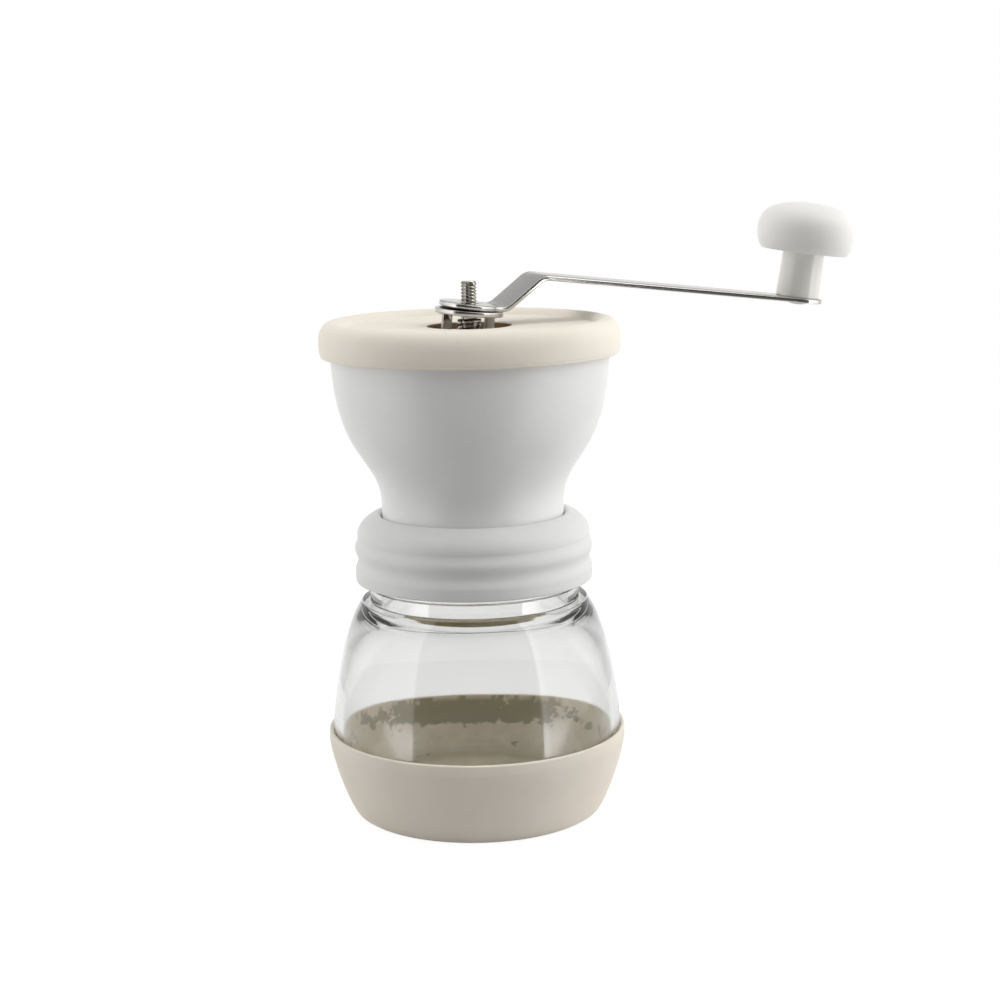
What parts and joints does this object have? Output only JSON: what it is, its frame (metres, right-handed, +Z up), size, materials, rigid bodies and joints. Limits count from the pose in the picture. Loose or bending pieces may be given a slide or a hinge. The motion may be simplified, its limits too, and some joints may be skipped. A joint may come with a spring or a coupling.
{
  "type": "manual coffee grinder",
  "caption": "Hand coffee mill: clear glass jar in a rubber boot, ribbed screw collar, waisted hopper, soft lid with a hole, ceramic burrs and a bent steel crank with a turning knob.",
  "frame": {"origin": "centre of the boot's flat foot on the ground, on the spindle axis", "axes": "+Z up along the spindle, +X along the crank arm at rest"},
  "size_m": [0.1826, 0.0928, 0.1853],
  "materials": {
    "boot_rubber": "matte",
    "clear_glass": "clear",
    "white_plastic": "satin",
    "bushing_bronze": "plain",
    "white_ceramic": "unglazed",
    "lid_rubber": "matte",
    "stainless_steel": "polished",
    "dark_plastic": "matte",
    "spring_steel": "bright",
    "ivory_plastic": "gloss",
    "knob_plastic": "matte"
  },
  "bodies": {
    "jar": {"glass_jar": "clear_glass", "rubber_boot": "boot_rubber"},
    "hopper": {"hopper": "white_plastic", "screw_collar": "white_plastic", "bearing_spider": "white_plastic", "shaft_bushings": "bushing_bronze", "outer_burr": "white_ceramic", "burr_ring": "white_plastic"},
    "lid": {"lid": "lid_rubber"},
    "drive": {"shaft": "stainless_steel", "inner_burr": "white_ceramic", "burr_carrier": "dark_plastic", "burr_washer": "stainless_steel", "burr_nut": "stainless_steel", "spring_washers": "stainless_steel", "spring": "spring_steel", "nut_washer": "stainless_steel", "adjusting_nut": "stainless_steel"},
    "lock": {"lock_plate": "stainless_steel"},
    "arm": {"crank_arm": "stainless_steel", "knob_pin": "stainless_steel"},
    "knob": {"knob_stem": "ivory_plastic", "knob_cap": "knob_plastic"}
  },
  "joints": [
    {"name": "hopper_lift", "type": "slide", "parent": "jar", "child": "hopper", "axis": [0, 0, 1], "range_m": [0, 0.06]},
    {"name": "lid_lift", "type": "slide", "parent": "hopper", "child": "lid", "axis": [0, 0, 1], "range_m": [0, 0.004]},
    {"name": "crank_turn", "type": "hinge", "parent": "hopper", "child": "drive", "pos_m": [0, 0, 0.12], "axis": [0, 0, 1], "continuous": true},
    {"name": "lock_lift", "type": "slide", "parent": "drive", "child": "lock", "axis": [0, 0, 1], "range_m": [0, 0.005]},
    {"name": "arm_lift", "type": "slide", "parent": "lock", "child": "arm", "axis": [0, 0, 1], "range_m": [0, 0.03]},
    {"name": "knob_spin", "type": "hinge", "parent": "arm", "child": "knob", "pos_m": [0.11743, -0.0002, 0.15312], "axis": [0.123, -0.0574, 0.9907], "continuous": true}
  ]
}
